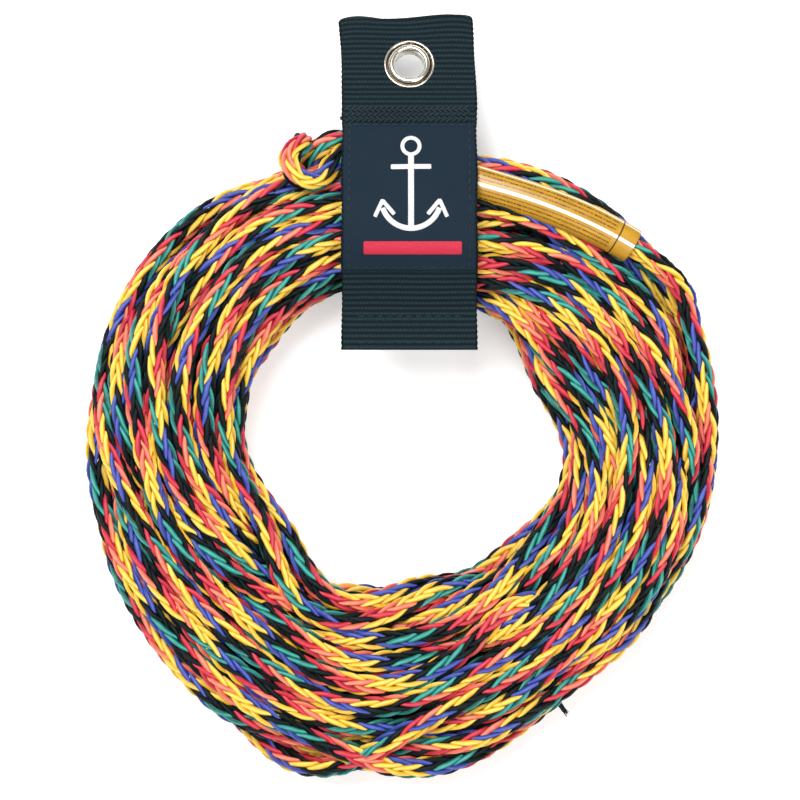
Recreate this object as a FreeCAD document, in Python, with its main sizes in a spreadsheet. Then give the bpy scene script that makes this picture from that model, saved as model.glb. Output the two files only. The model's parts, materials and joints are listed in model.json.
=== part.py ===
import FreeCAD, Part
import math
import os

from FreeCAD import Placement, Rotation, Vector

# A coiled tow rope in its webbing keeper, lying flat. Millimetres, +Z up, +Y towards the hanging
# tab, the floor at Z = 0, the origin at the middle of the footprint. The rope is a hollow braid,
# wound into a ring. The keeper is one webbing strap: its tab is folded over and carries a grommet,
# and its two legs go over and under the ring and close inside it with hook and loop tape.

DIMENSIONS = {
    # the ring of rope
    "rope_diameter": 8.5,
    "ring_y": -20.0,
    "coil_low": 0.3,
    "coil_low_at_strap": 2.6,
    # the keeper's webbing
    "webbing_width": 50.8,
    "webbing_thickness": 1.6,
    "strap_x": 2.4,
    "hinge_relief": 0.8,
    # the woven label, the closing tapes and the threads
    "label_width": 49.0,
    "label_thickness": 0.5,
    "tape_width": 46.0,
    "tape_thickness": 1.0,
    "stitch_width": 0.7,
    "stitch_height": 0.3,
    "stitch_length": 2.4,
    "stitch_pitch": 3.6,
    # the grommet
    "grommet_bore": 11.1,
    "grommet_flange": 19.2,
    "grommet_wall": 0.5,
    "grommet_rim": 1.1,
    "washer_thickness": 0.8,
    # the printed sleeve
    "sleeve_bore": 9.0,
    "sleeve_outside": 11.2,
}

# The ring's section at each 30 degrees, anticlockwise from +X about the ring's centre: the radius
# of its outer edge, of its inner edge, and its height. It is gathered in the strap, at 90 degrees,
# which lifts it off the floor there, and it spreads out opposite the strap.
SECTION_STEP = 30
OUTER_RADII = (121, 123, 117, 112, 120, 123, 121, 121, 126, 125, 116, 117)
INNER_RADII = (60, 55, 62, 64, 64, 62, 58, 50, 51, 49, 48, 55)
HEIGHTS = (48, 45, 46, 47.9, 47, 50, 48, 46, 44, 42, 42, 44)
STRAP_ANGLE = 90

# The keeper's lines in the YZ plane, in the middle of the webbing's thickness.
HINGE_FLAP = (104.0, 39.8)  # where the front leg bends up from the seam
SEAM_START = (106.0, 38.8)
SEAM_END = (110.0, 36.9)
TAB_START = (112.5, 35.6)
TAB_BEND = (115.2, 34.4)
TAB_END = (145.3, 26.3)
FIN_END = (18.4, 46.0)
FIN_BEND = (33.0, 46.0)
TOP_BEND = (58.2, 55.2)
SHOULDER_BEND = (72.4, 55.2)
BACK_END = (20.5, 42.1)
BACK_TOP = (33.4, 42.1)
BACK_FOOT = (33.4, 0.8)
BACK_HEEL = (83.6, 0.8)
BACK_RISE = (104.2, 36.2)
FRONT_RADII = (12, 27, 27)
BACK_RADII = (3, 27, 27)
TAB_RADII = (12,)
# Shares of a run of the keeper's lines: where the label starts and ends on the front leg, where
# the hook tape ends on it, how far the loop tape goes down the back leg, and the grommet's place.
LABEL_START, LABEL_END = 0.6, 0.88
HOOK_TAPE_END = 0.36
LOOP_TAPE_END = 0.22
GROMMET_PLACE = 0.36
TAPE_INSET = 1.0
STITCH_INSET = 2.0
STITCH_LIFT = 0.08

# The one pass of rope that carries the sleeve, from under the strap to where it sinks into the ring.
SLEEVED_PASS = (
    Vector(8, 85, 40),
    Vector(27, 81, 43.2),
    Vector(50, 74.2, 46),
    Vector(72, 65.2, 45.5),
    Vector(92, 54, 42),
    Vector(106, 42, 36),
)
# The sleeve starts this share of the way along the first run, and ends on the fourth.
SLEEVE_START, SLEEVE_END = 0.45, 0.67

# The knot beside the strap: the rope's end comes out from under the strap, bends over the
# outermost turn, and is tucked back in under it.
KNOT = (
    Vector(6, 93, 33),
    Vector(-9, 94, 34),
    Vector(-23, 94, 35),
    Vector(-35, 94.5, 36),
    Vector(-45, 93.5, 39),
    Vector(-45, 86, 45),
    Vector(-36, 79.5, 44),
    Vector(-30, 77, 36),
)

doc = FreeCAD.newDocument("tow_rope")
sheet = doc.addObject("Spreadsheet::Sheet", "Dimensions")
for row, (alias, value) in enumerate(DIMENSIONS.items(), start=1):
    sheet.set(f"A{row}", alias)
    sheet.set(f"B{row}", str(value))
    sheet.setAlias(f"B{row}", alias)
doc.recompute()

SUB_PARTS = []


def dim(alias):
    return float(sheet.get(alias))


def bind(feature, **sizes):
    """Ties properties of a feature to expressions of the sheet's aliases."""
    for name, expression in sizes.items():
        feature.setExpression(name, expression)


def finish(feature, label):
    """Names a sub-part, and puts it on the list of those written out."""
    feature.Label = label
    SUB_PARTS.append(feature)
    return feature


def origin_plane(body, role):
    return next(f for f in body.Origin.OriginFeatures if f.Role == role)


def add_sketch(body, role, name):
    sketch = body.newObject("Sketcher::SketchObject", name)
    sketch.AttachmentSupport = [(origin_plane(body, role), "")]
    sketch.MapMode = "FlatFace"
    return sketch


# ---------------------------------------------------------------- lines with rounded corners


def unit(vector):
    return vector * (1 / vector.Length)


def corner_arcs(points, radii):
    """Each inner corner's tangent points and arc centre, with the arc's middle point."""
    arcs = []
    for before, corner, after, radius in zip(points, points[1:], points[2:], radii):
        towards, away = unit(before - corner), unit(after - corner)
        half = towards.getAngle(away) / 2
        reach = radius / math.tan(half)
        centre = corner + unit(towards + away) * (radius / math.sin(half))
        middle = centre + unit(corner - centre) * radius
        arcs.append((corner + towards * reach, middle, corner + away * reach, centre))
    return arcs


def strip_run(points, radii, offset):
    """The pieces of a rounded line, moved sideways by offset to the left of its direction."""
    def left(direction):
        return Vector(-direction.y, direction.x, 0) * offset

    runs = [unit(b - a) for a, b in zip(points, points[1:])]
    pieces, start = [], points[0] + left(runs[0])
    for (first, middle, last, centre), before, after in zip(
        corner_arcs(points, radii), runs, runs[1:]
    ):
        first_moved, last_moved = first + left(before), last + left(after)
        swing = (first_moved - centre).Length
        middle_moved = centre + unit(middle - centre) * swing
        pieces.append((start, first_moved))
        pieces.append((first_moved, middle_moved, last_moved))
        start = last_moved
    pieces.append((start, points[-1] + left(runs[-1])))
    return pieces


def strap_strip(label, line, radii, low, high, width):
    """A band of cloth as wide as the alias width: a rounded line between two offsets, padded
    both ways across the strap."""
    points = [Vector(y, z, 0) for y, z in line]
    lower = strip_run(points, radii, low)
    upper = [piece[::-1] for piece in reversed(strip_run(points, radii, high))]
    outline = lower + [(lower[-1][-1], upper[0][0])] + upper + [(upper[-1][-1], lower[0][0])]
    body = doc.addObject("PartDesign::Body", label + "_body")
    sketch = add_sketch(body, "YZ_Plane", label + "_section")
    for piece in outline:
        sketch.addGeometry(Part.LineSegment(*piece) if len(piece) == 2 else Part.Arc(*piece))
    pad = body.newObject("PartDesign::Pad", label + "_pad")
    pad.Profile = sketch
    pad.SideType = "Symmetric"
    bind(pad, Length=f"Dimensions.{width}")
    body.Tip = pad
    bind(body, **{"Placement.Base.x": "Dimensions.strap_x"})
    return finish(body, label)


# ---------------------------------------------------------------- the rope


def make_coil():
    """The outer shape of the wound ring: two half rings lofted through its sections, joined under
    the strap and opposite it."""
    sections = []
    for number, (outer, inner, height) in enumerate(zip(OUTER_RADII, INNER_RADII, HEIGHTS)):
        angle = number * SECTION_STEP
        beside_strap = abs(angle - STRAP_ANGLE) <= SECTION_STEP
        low = "coil_low_at_strap" if beside_strap else "coil_low"
        middle = (outer + inner) / 2
        section = doc.addObject("Part::Ellipse", f"coil_section_{angle}")
        section.MajorRadius = (outer - inner) / 2
        section.MinorRadius = height / 2
        direction = Vector(math.cos(math.radians(angle)), math.sin(math.radians(angle)), 0)
        turned = Rotation(Vector(0, 0, 1), angle) * Rotation(Vector(1, 0, 0), 90)
        section.Placement = Placement(direction * middle, turned)
        bind(
            section,
            **{
                "Placement.Base.y": f"Dimensions.ring_y + {direction.y * middle}",
                "Placement.Base.z": f"Dimensions.{low} + {height / 2}",
            },
        )
        sections.append(section)
    joint, half_count = STRAP_ANGLE // SECTION_STEP, len(sections) // 2
    order = sections[joint:] + sections[: joint + 1]
    halves = []
    for side, half in (("left", order[: half_count + 1]), ("right", order[half_count:])):
        loft = doc.addObject("Part::Loft", f"coil_{side}_half")
        loft.Sections = half
        loft.Solid = True
        halves.append(loft)
    ring = doc.addObject("Part::Fuse", "coil_ring")
    ring.Base, ring.Tool = halves
    finish(ring, "rope_coil")


def rope_radii(points):
    """Each corner's arc, as large as its two runs allow."""
    share_of_run = 0.45
    radii = []
    for before, corner, after in zip(points, points[1:], points[2:]):
        turn = math.pi - (before - corner).getAngle(after - corner)
        shorter = min((before - corner).Length, (after - corner).Length)
        radii.append(share_of_run * shorter / math.tan(turn / 2))
    return radii


def rounded_wire(points, radii):
    edges, start = [], points[0]
    for first, middle, last, _ in corner_arcs(points, radii):
        edges.append(Part.LineSegment(start, first).toShape())
        edges.append(Part.Arc(first, middle, last).toShape())
        start = last
    edges.append(Part.LineSegment(start, points[-1]).toShape())
    return Part.Wire(edges)


def tube(points, radii, diameter):
    """A round bar along a rounded line. Its volume is its section times its length."""
    path = rounded_wire(points, radii)
    ring = Part.Circle(points[0], points[1] - points[0], diameter / 2).toShape()
    solid = path.makePipeShell([Part.Wire([ring])], True, False)
    expected = math.pi * diameter**2 / 4 * path.Length
    if abs(solid.Volume / expected - 1) > 0.01:
        raise ValueError(f"tube volume {solid.Volume:.0f} is not {expected:.0f}")
    return solid


def add_shape(label, shape):
    feature = doc.addObject("Part::Feature", label)
    feature.Shape = shape
    feature.Placement = Placement()
    return finish(feature, label)


def make_rope_ends():
    """The two stretches of rope that stand out of the ring, and the sleeve on one of them."""
    for label, points in (("rope_knot", KNOT), ("rope_sleeved_pass", SLEEVED_PASS)):
        radii = rope_radii(points)
        print(label, "radii", [round(radius, 1) for radius in radii])
        add_shape(label, tube(points, radii, dim("rope_diameter")))
    first, second, third, fourth, fifth = SLEEVED_PASS[:5]
    start = first + (second - first) * SLEEVE_START
    end = fourth + (fifth - fourth) * SLEEVE_END
    points, radii = (start, second, third, fourth, end), rope_radii(SLEEVED_PASS[:5])
    add_shape(
        "caution_sleeve",
        tube(points, radii, dim("sleeve_outside")).cut(tube(points, radii, dim("sleeve_bore"))),
    )


# ---------------------------------------------------------------- the keeper


def between(start, end, share):
    return (start[0] + (end[0] - start[0]) * share, start[1] + (end[1] - start[1]) * share)


def short_of(start, end, gap):
    """The point a gap short of end."""
    return between(start, end, 1 - gap / math.dist(start, end))


def make_webbing():
    half = dim("webbing_thickness") / 2
    hinge_end = short_of(SHOULDER_BEND, HINGE_FLAP, dim("hinge_relief"))
    front = (FIN_END, FIN_BEND, TOP_BEND, SHOULDER_BEND, hinge_end)
    strap_strip("strap_front", front, FRONT_RADII, -half, half, "webbing_width")
    back = (BACK_END, BACK_TOP, BACK_FOOT, BACK_HEEL, BACK_RISE)
    strap_strip("strap_back", back, BACK_RADII, -half, half, "webbing_width")
    strap_strip("strap_seam", (SEAM_START, SEAM_END), (), -2 * half, 2 * half, "webbing_width")


def label_line():
    """The stretch of the front leg that the label covers, with its corners' radii."""
    start = between(FIN_BEND, TOP_BEND, LABEL_START)
    end = between(SHOULDER_BEND, HINGE_FLAP, LABEL_END)
    return (start, TOP_BEND, SHOULDER_BEND, end), FRONT_RADII[1:]


def hook_tape_line():
    start = (FIN_END[0] + TAPE_INSET, FIN_END[1])
    return (start, FIN_BEND, between(FIN_BEND, TOP_BEND, HOOK_TAPE_END)), FRONT_RADII[:1]


def loop_tape_line():
    start = (BACK_END[0] + TAPE_INSET, BACK_END[1])
    return (start, BACK_TOP, between(BACK_TOP, BACK_FOOT, LOOP_TAPE_END)), BACK_RADII[:1]


def make_sewn_on():
    """The label and the two closing tapes, each lying on its leg of the strap."""
    half, tape = dim("webbing_thickness") / 2, dim("tape_thickness")
    top = half + dim("label_thickness")
    strap_strip("woven_label", *label_line(), half, top, "label_width")
    strap_strip("hook_tape", *hook_tape_line(), -half - tape, -half, "tape_width")
    strap_strip("loop_tape", *loop_tape_line(), half, half + tape, "tape_width")


def stitch(place, slope, across):
    """One stitch of thread at a point (x, y, z), on cloth that slopes by an angle in the YZ plane."""
    width, length, height = (dim("stitch_" + side) for side in ("width", "length", "height"))
    if across:
        width, length = length, width
    box = Part.makeBox(width, length, height, Vector(-width / 2, -length / 2, STITCH_LIFT))
    box.Placement = Placement(Vector(*place), Rotation(Vector(1, 0, 0), slope))
    return box


def stitches_along(line, radii, offset, sides):
    """Rows of stitches that run with the strap, at each distance in sides from its middle."""
    points = [Vector(y, z, 0) for y, z in line]
    pieces = strip_run(points, radii, offset)
    edges = [
        (Part.LineSegment(*p) if len(p) == 2 else Part.Arc(*p)).toShape() for p in pieces
    ]
    wire = Part.Wire(edges)
    spots = wire.discretize(Number=round(wire.Length / dim("stitch_pitch")) + 1)
    row = []
    for start, end in zip(spots, spots[1:]):
        middle, run = (start + end) * 0.5, end - start
        slope = math.degrees(math.atan2(run.y, run.x))
        for side in sides:
            row.append(stitch((dim("strap_x") + side, middle.x, middle.y), slope, False))
    return row


def stitches_across(start, end, offset, shares, width):
    """Rows of stitches across the strap, at each share of a straight run of its line."""
    slope = math.atan2(end[1] - start[1], end[0] - start[0])
    count = int(width / dim("stitch_pitch"))
    row = []
    for share in shares:
        y, z = between(start, end, share)
        y, z = y - math.sin(slope) * offset, z + math.cos(slope) * offset
        for number in range(count):
            x = dim("strap_x") + (number - (count - 1) / 2) * dim("stitch_pitch")
            row.append(stitch((x, y, z), math.degrees(slope), True))
    return row


def make_stitching():
    """The threads: down both sides of the label, across the seam, and across each tape's end on
    the outside of its leg."""
    half, under = dim("webbing_thickness") / 2, -dim("stitch_height") - 2 * STITCH_LIFT
    label_top = half + dim("label_thickness")
    side = dim("label_width") / 2 - STITCH_INSET
    label_rows = stitches_along(*label_line(), label_top, (-side, side))
    add_shape("label_stitching", Part.makeCompound(label_rows))
    inner = dim("tape_width") - 2 * STITCH_INSET
    seam_rows = stitches_across(SEAM_START, SEAM_END, 2 * half, (0.25, 0.75), inner)
    add_shape("seam_stitching", Part.makeCompound(seam_rows))
    hook_rows = stitches_across(FIN_END, FIN_BEND, half, (0.16, 0.84), inner)
    add_shape("hook_tape_stitching", Part.makeCompound(hook_rows))
    loop_rows = stitches_across(BACK_END, BACK_TOP, under - half, (0.16, 0.7), inner)
    add_shape("loop_tape_stitching", Part.makeCompound(loop_rows))


# ---------------------------------------------------------------- the tab and its grommet


def revolved(label, outline, place):
    """A body turned about its own Z from an outline of (radius, height) points, where a piece of
    three points is an arc."""
    body = doc.addObject("PartDesign::Body", label + "_body")
    sketch = add_sketch(body, "XZ_Plane", label + "_section")
    for piece in outline:
        piece = [Vector(radius, height, 0) for radius, height in piece]
        sketch.addGeometry(Part.LineSegment(*piece) if len(piece) == 2 else Part.Arc(*piece))
    turned = body.newObject("PartDesign::Revolution", label + "_turned")
    turned.Profile = sketch
    turned.ReferenceAxis = (sketch, ["V_Axis"])
    turned.Angle = 360
    body.Tip = turned
    body.Placement = place
    return finish(body, label)


def make_tab():
    """The folded end of the strap, with a hole for the grommet."""
    thickness = dim("webbing_thickness")
    line = (TAB_START, TAB_BEND, TAB_END)
    tab = strap_strip("folded_tab", line, TAB_RADII, -thickness, thickness, "webbing_width")
    SUB_PARTS.remove(tab)
    slope = math.degrees(math.atan2(TAB_END[1] - TAB_BEND[1], TAB_END[0] - TAB_BEND[0]))
    y, z = between(TAB_BEND, TAB_END, GROMMET_PLACE)
    place = Placement(Vector(dim("strap_x"), y, z), Rotation(Vector(1, 0, 0), slope))
    hole = doc.addObject("Part::Cylinder", "grommet_hole")
    hole.Placement = place * Placement(Vector(0, 0, -2 * thickness), Rotation())
    bind(
        hole,
        Radius="Dimensions.grommet_bore / 2 + Dimensions.grommet_wall + 0.05",
        Height="4 * Dimensions.webbing_thickness",
    )
    cut = doc.addObject("Part::Cut", "tab_with_hole")
    cut.Base, cut.Tool = tab, hole
    finish(cut, "strap_tab")
    make_grommet(place)


def make_grommet(place):
    """The eyelet, whose barrel goes through the tab and is curled over the washer behind it."""
    bore, flange = dim("grommet_bore") / 2, dim("grommet_flange") / 2
    barrel, rim = bore + dim("grommet_wall"), dim("grommet_rim")
    front, back = dim("webbing_thickness"), -dim("webbing_thickness") - dim("washer_thickness")
    groove, crest = (barrel + flange) / 2 + 0.3, front + rim
    valley, lip, curl = front + 0.6 * rim, front + 0.5 * rim, barrel + 1.3
    eyelet = (
        ((barrel, front), (flange, front)),
        ((flange, front), ((flange + groove) / 2 + 0.3, crest), (groove, valley)),
        ((groove, valley), ((groove + bore) / 2, crest + 0.2), (bore, lip)),
        ((bore, lip), (bore, back - 0.3)),
        ((bore, back - 0.3), ((bore + curl) / 2, back - 1.0), (curl, back)),
        ((curl, back), (barrel, back)),
        ((barrel, back), (barrel, front)),
    )
    revolved("grommet_eyelet", eyelet, place)
    inside, outside, behind = barrel + 0.05, flange - 0.6, -dim("webbing_thickness")
    washer = (
        ((inside, behind), (outside, behind)),
        ((outside, behind), (outside + 0.3, (behind + back) / 2), (outside, back)),
        ((outside, back), (inside, back)),
        ((inside, back), (inside, behind)),
    )
    revolved("grommet_washer", washer, place)


make_coil()
make_rope_ends()
make_webbing()
make_sewn_on()
make_tab()
make_stitching()

doc.recompute()
for thing in doc.Objects:
    if {"Invalid", "Error"} & set(thing.State):
        raise ValueError(f"{thing.Label} did not compute: {thing.State}")
os.makedirs("parts", exist_ok=True)
for sub_part in SUB_PARTS:
    shape = sub_part.Shape
    if shape.isNull() or not shape.isValid():
        raise ValueError(f"{sub_part.Label} has no valid shape")
    shape.exportStep(f"parts/{sub_part.Label}.step")
    print(sub_part.Label, len(shape.Solids), round(shape.Volume), shape.optimalBoundingBox())
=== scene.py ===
import json
import math

import bmesh
import bpy
import numpy as np
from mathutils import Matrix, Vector


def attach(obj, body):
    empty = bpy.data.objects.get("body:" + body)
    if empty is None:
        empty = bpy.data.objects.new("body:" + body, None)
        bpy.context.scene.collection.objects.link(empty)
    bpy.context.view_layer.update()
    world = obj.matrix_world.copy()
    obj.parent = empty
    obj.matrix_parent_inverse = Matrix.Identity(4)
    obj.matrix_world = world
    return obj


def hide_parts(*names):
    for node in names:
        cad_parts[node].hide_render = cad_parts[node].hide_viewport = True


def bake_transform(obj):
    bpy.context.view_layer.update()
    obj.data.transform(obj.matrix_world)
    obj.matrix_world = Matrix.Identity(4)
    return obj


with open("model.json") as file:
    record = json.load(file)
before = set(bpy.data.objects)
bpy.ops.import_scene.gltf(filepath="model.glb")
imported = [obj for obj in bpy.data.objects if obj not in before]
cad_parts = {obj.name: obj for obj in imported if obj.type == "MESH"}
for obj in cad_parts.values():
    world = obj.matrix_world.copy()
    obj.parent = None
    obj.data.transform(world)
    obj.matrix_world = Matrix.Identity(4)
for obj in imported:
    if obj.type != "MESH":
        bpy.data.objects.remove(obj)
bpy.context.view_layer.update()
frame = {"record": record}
MM = 0.001
rng = np.random.default_rng(23)

# ---------------------------------------------------------------- camera

camera = bpy.data.objects.new("camera", bpy.data.cameras.new("camera"))
bpy.context.collection.objects.link(camera)
camera.data.sensor_width = 36
camera.data.lens = 139
camera.location = (-0.0011, -0.0003, 1.2)
bpy.context.scene.camera = camera

# ---------------------------------------------------------------- helpers


def grid_mesh(name, points, closed_across=False, marks=None):
    """A mesh object of one or more grids of points: (grids, rows, columns, 3). Its marks, one to a
    point, are kept as the attribute that the materials read."""
    grids, rows, columns = points.shape[:3]
    index = np.arange(grids * rows * columns).reshape(grids, rows, columns)
    if closed_across:
        index = np.concatenate([index, index[:, :, :1]], axis=2)
    faces = np.stack(
        [index[:, :-1, :-1], index[:, :-1, 1:], index[:, 1:, 1:], index[:, 1:, :-1]], axis=-1
    ).reshape(-1, 4)
    mesh = bpy.data.meshes.new(name)
    mesh.vertices.add(grids * rows * columns)
    mesh.vertices.foreach_set("co", points.astype(np.float32).ravel())
    mesh.loops.add(faces.size)
    mesh.loops.foreach_set("vertex_index", faces.astype(np.int32).ravel())
    mesh.polygons.add(len(faces))
    mesh.polygons.foreach_set("loop_start", np.arange(0, faces.size, 4, dtype=np.int32))
    mesh.polygons.foreach_set("use_smooth", np.ones(len(faces), dtype=bool))
    if marks is not None:
        layer = mesh.attributes.new("grain", "FLOAT_VECTOR", "POINT")
        layer.data.foreach_set("vector", marks.astype(np.float32).ravel())
    mesh.update(calc_edges=True)
    thing = bpy.data.objects.new(name, mesh)
    bpy.context.collection.objects.link(thing)
    return thing


def join(name, things):
    """One object of several."""
    mesh = bpy.data.meshes.new(name)
    shape = bmesh.new()
    for thing in things:
        shape.from_mesh(thing.data)
    shape.to_mesh(mesh)
    shape.free()
    for thing in things:
        bpy.data.objects.remove(thing)
    joined = bpy.data.objects.new(name, mesh)
    bpy.context.collection.objects.link(joined)
    return joined


def lengths_along(line):
    steps = np.linalg.norm(np.diff(line, axis=0), axis=1)
    return np.concatenate([[0], np.cumsum(steps)])


def evened(line, count):
    """A line's points at even steps along it, and how far along it each one is."""
    run = lengths_along(line)
    even = np.linspace(0, run[-1], count)
    return np.stack([np.interp(even, run, row) for row in line.T], axis=-1), even


def headings(line):
    """The direction of a line at each of its points."""
    along = np.gradient(line, axis=0)
    return along / np.linalg.norm(along, axis=1, keepdims=True)


def linear(red, green, blue):
    """A colour as the eye sees it, from 0 to 255 a channel, as the renderer's own."""
    return tuple(((channel / 255 + 0.055) / 1.055) ** 2.4 if channel > 10 else channel / 3294
                 for channel in (red, green, blue)) + (1.0,)


class Paint:
    """A node material built a node at a time."""

    def __init__(self, name, roughness, metallic=0.0, specular=0.5):
        self.material = bpy.data.materials.new(name)
        self.material.use_nodes = True
        self.nodes, self.links = self.material.node_tree.nodes, self.material.node_tree.links
        self.shader = self.nodes["Principled BSDF"]
        self.shader.inputs["Roughness"].default_value = roughness
        self.shader.inputs["Metallic"].default_value = metallic
        self.shader.inputs["Specular IOR Level"].default_value = specular

    def node(self, kind, **settings):
        made = self.nodes.new(kind)
        for name, value in settings.items():
            setattr(made, name, value)
        return made

    def plug(self, source, target):
        self.links.new(source, target)

    def grain(self, *scale):
        """The piece's marks, which tell how far across and along it a place is, scaled."""
        attribute = self.node("ShaderNodeAttribute", attribute_name="grain")
        mapping = self.node("ShaderNodeMapping")
        mapping.inputs["Scale"].default_value = scale
        self.plug(attribute.outputs["Vector"], mapping.inputs["Vector"])
        return mapping.outputs["Vector"]

    def grain_parts(self):
        split = self.node("ShaderNodeSeparateXYZ")
        self.plug(self.grain(1.0, 1.0, 1.0), split.inputs[0])
        return [split.outputs[axis] for axis in "XYZ"]

    def object_place(self):
        return self.node("ShaderNodeTexCoord").outputs["Object"]

    def noise(self, where, scale, detail=3.0):
        made = self.node("ShaderNodeTexNoise")
        made.inputs["Scale"].default_value = scale
        made.inputs["Detail"].default_value = detail
        self.plug(where, made.inputs["Vector"])
        return made.outputs["Fac"]

    def ramp(self, factor, stops):
        made = self.node("ShaderNodeValToRGB")
        elements = made.color_ramp.elements
        while len(elements) < len(stops):
            elements.new(0.5)
        for element, (place, color) in zip(elements, stops):
            element.position, element.color = place, color
        self.plug(factor, made.inputs["Fac"])
        return made.outputs["Color"]

    def mix(self, factor, first, second):
        made = self.node("ShaderNodeMix", data_type="RGBA")
        for socket, value in ((made.inputs[0], factor), (made.inputs[6], first),
                              (made.inputs[7], second)):
            if isinstance(value, (tuple, float)):
                socket.default_value = value
            else:
                self.plug(value, socket)
        return made.outputs[2]

    def math(self, operation, first, second=0.0):
        made = self.node("ShaderNodeMath", operation=operation)
        for socket, value in zip(made.inputs, (first, second)):
            if isinstance(value, float):
                socket.default_value = value
            else:
                self.plug(value, socket)
        return made.outputs[0]

    def near(self, value, place, half):
        """1 where a value is within half of a place, and 0 elsewhere."""
        offset = self.math("ABSOLUTE", self.math("SUBTRACT", value, place))
        return self.math("LESS_THAN", offset, half)

    def color(self, source):
        self.plug(source, self.shader.inputs["Base Color"])

    def bump(self, height, distance, strength=1.0):
        made = self.node("ShaderNodeBump")
        made.inputs["Strength"].default_value = strength
        made.inputs["Distance"].default_value = distance
        self.plug(height, made.inputs["Height"])
        self.plug(made.outputs["Normal"], self.shader.inputs["Normal"])


def paint_on(thing, paint):
    thing.data.materials.clear()
    thing.data.materials.append(paint.material)


# ---------------------------------------------------------------- the rope's route

# The ring's section at each 30 degrees, anticlockwise from +X about its centre, in millimetres.
# The section is an oval between the two radii and between LOWS and LOWS + HEIGHTS.
RING_Y = -20.0
OUTER_RADII = (121, 123, 117, 112, 120, 123, 121, 121, 128, 129, 115, 117)
INNER_RADII = (60, 55, 60, 62, 64, 62, 58, 50, 51, 49, 48, 55)
HEIGHTS = (48, 45, 46, 47.9, 47, 50, 48, 46, 44, 42, 42, 44)
LOWS = (0.3, 0.3, 2.6, 2.6, 2.6, 0.3, 0.3, 0.3, 0.3, 0.3, 0.3, 0.3)
ROPE = 8.5
TURNS = 32
STATIONS = 72
START_ANGLE = 90
# Each time round the ring, the rope also goes this much of the way round the ring's section, give
# or take the sway in radians.
LAY = 0.62
SWAY = 1.5
# The stations of the last turn that the last stretch takes the place of.
CUT_SHORT = 12

# The rope's last stretch: up out of the ring's outer edge, through the sleeve, under the strap,
# round the outermost turn and back in beside the strap.
LAST_STRETCH = (
    (106, 42, 36),
    (92, 54, 42),
    (72, 65.2, 45.5),
    (50, 74.2, 46),
    (27, 81, 43.2),
    (8, 87, 39),
    (-9, 95, 35),
    (-21, 98.5, 36),
    (-30, 96.5, 37),
    (-36, 90, 34),
    (-39, 84, 31),
    (-42, 90, 30),
    (-39.8, 96, 34),
    (-36.8, 96.6, 42),
    (-43.5, 91, 46.5),
    (-40, 82.5, 47.5),
    (-31.5, 81, 45),
    (-25.5, 89.5, 42),
    (-20, 94.5, 37.5),
)

# In the ring's sections, as angles, radii and heights: the climb to the last stretch, and the turn
# that lies outside the sleeve. The sleeve takes more room than bare rope, over some stations.
RISING = ((-20, 0, 20, 30), (112, 115, 118, 120), (27, 31, 35, 36))
BESIDE_SLEEVE = (
    (20, 30, 40, 50, 60, 70, 80),
    (118.5, 119, 118.5, 117.5, 116, 113.5, 110),
    (27, 28.5, 31, 33, 34.5, 35.5, 36),
)
SLEEVED_STATIONS = slice(STATIONS - 11, None)
SLEEVE_ROOM = 1.6

# How the turns settle: they grow from a share of their thickness to the whole of it in some of the
# rounds, and the pushes between them are spread along the rope.
THIN = 0.3
GROWING_ROUNDS, SETTLING_ROUNDS = 320, 200
PUSH, PUSH_SPREAD = 0.45, 13
STIFFNESS, TENSION = 0.05, 0.1


def stations_of(values):
    """A periodic quantity known at each 30 degrees, at each of the stations of a turn."""
    fine = np.fft.irfft(np.fft.rfft(values), STATIONS) * STATIONS / len(values)
    return np.roll(fine, -START_ANGLE * STATIONS // 360)


def wander(count, width):
    """A slow random walk between -1 and 1."""
    kernel = np.hanning(2 * width + 1)
    raw = np.convolve(rng.normal(size=count + 2 * width), kernel, "valid")
    return np.tanh(1.1 * raw / raw.std())


def last_stretch_sections():
    """Where the last stretch is in the ring's sections: its angle, radius and height."""
    x, y, z = np.array(LAST_STRETCH, float).T
    angle = np.degrees(np.arctan2(y - RING_Y, x))
    return angle, np.hypot(x, y - RING_Y), z


def pinned_places():
    """The last two turns' places that are known: beside and on the way up to the last stretch."""
    angle, radius, rise = last_stretch_sections()
    up_to_strap = slice(4, None, -1)
    pinned = {}
    for at in range(RISING[0][0], START_ANGLE, 360 // STATIONS):
        station = (at - START_ANGLE) % 360 * STATIONS // 360
        if at < angle[0]:
            spot = [np.interp(at, RISING[0], row) for row in RISING[1:]]
        else:
            spot = [np.interp(at, angle[up_to_strap], row[up_to_strap]) for row in (radius, rise)]
        pinned[station, TURNS - 1] = np.array(spot)
        if at >= BESIDE_SLEEVE[0][0]:
            spot = [np.interp(at, BESIDE_SLEEVE[0], row) for row in BESIDE_SLEEVE[1:]]
            pinned[station, TURNS - 2] = np.array(spot)
    return pinned


def last_stretch_crossings(stations=5, each=3, far=1e4):
    """Where the last stretch crosses the first few stations' sections, for the turns to lie clear
    of. At the other stations it is far away."""
    sections = last_stretch_sections()
    fine = np.linspace(0, len(LAST_STRETCH) - 1, 400)
    angle, *place = [np.interp(fine, np.arange(len(LAST_STRETCH)), row) for row in sections]
    crossings = np.full((STATIONS, each, 2), far)
    for station in range(stations):
        near = np.abs(angle - START_ANGLE - station * 360 / STATIONS) < 180 / STATIONS
        spots = np.stack(place, axis=-1)[near]
        crossings[station] = spots[np.linspace(0, len(spots) - 1, each).astype(int)]
    return crossings


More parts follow.
